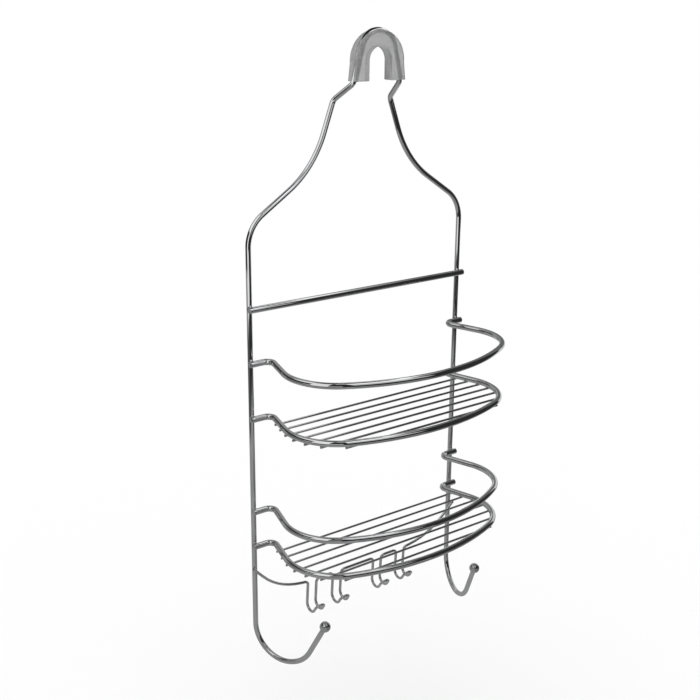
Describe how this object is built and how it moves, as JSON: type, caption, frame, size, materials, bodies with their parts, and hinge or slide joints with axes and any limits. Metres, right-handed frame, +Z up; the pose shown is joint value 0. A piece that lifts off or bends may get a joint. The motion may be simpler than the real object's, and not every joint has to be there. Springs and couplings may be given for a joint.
{
  "type": "shower caddy",
  "caption": "Hanging wire shower caddy: a sprung hoop with a soft saddle over the shower arm, open wire baskets with guard rails, towel hooks and small hooks.",
  "frame": {"origin": "centre of the saddle's half-round seat, which is the axis of the shower arm, midway along the saddle", "axes": "+X to the caddy's right-hand side seen from the front, +Y back towards the wall, +Z up along the uprights"},
  "size_m": [0.239, 0.1189, 0.5506],
  "materials": {
    "chrome": "bright plated steel wire",
    "vinyl": "soft translucent vinyl, satin"
  },
  "bodies": {
    "root": {"main_frame": "chrome", "left_hook_ball": "chrome", "right_hook_ball": "chrome", "saddle_grip": "vinyl", "cross_bar": "chrome", "upper_guard_rail": "chrome", "upper_shelf_rim": "chrome", "upper_grid_wire_1": "chrome", "upper_grid_wire_2": "chrome", "upper_grid_wire_3": "chrome", "upper_grid_wire_4": "chrome", "upper_grid_wire_5": "chrome", "upper_grid_wire_6": "chrome", "upper_grid_wire_7": "chrome", "lower_guard_rail": "chrome", "lower_shelf_rim": "chrome", "lower_grid_wire_1": "chrome", "lower_grid_wire_2": "chrome", "lower_grid_wire_3": "chrome", "lower_grid_wire_4": "chrome", "lower_grid_wire_5": "chrome", "lower_grid_wire_6": "chrome", "lower_grid_wire_7": "chrome", "small_hook_wire": "chrome"}
  },
  "joints": []
}
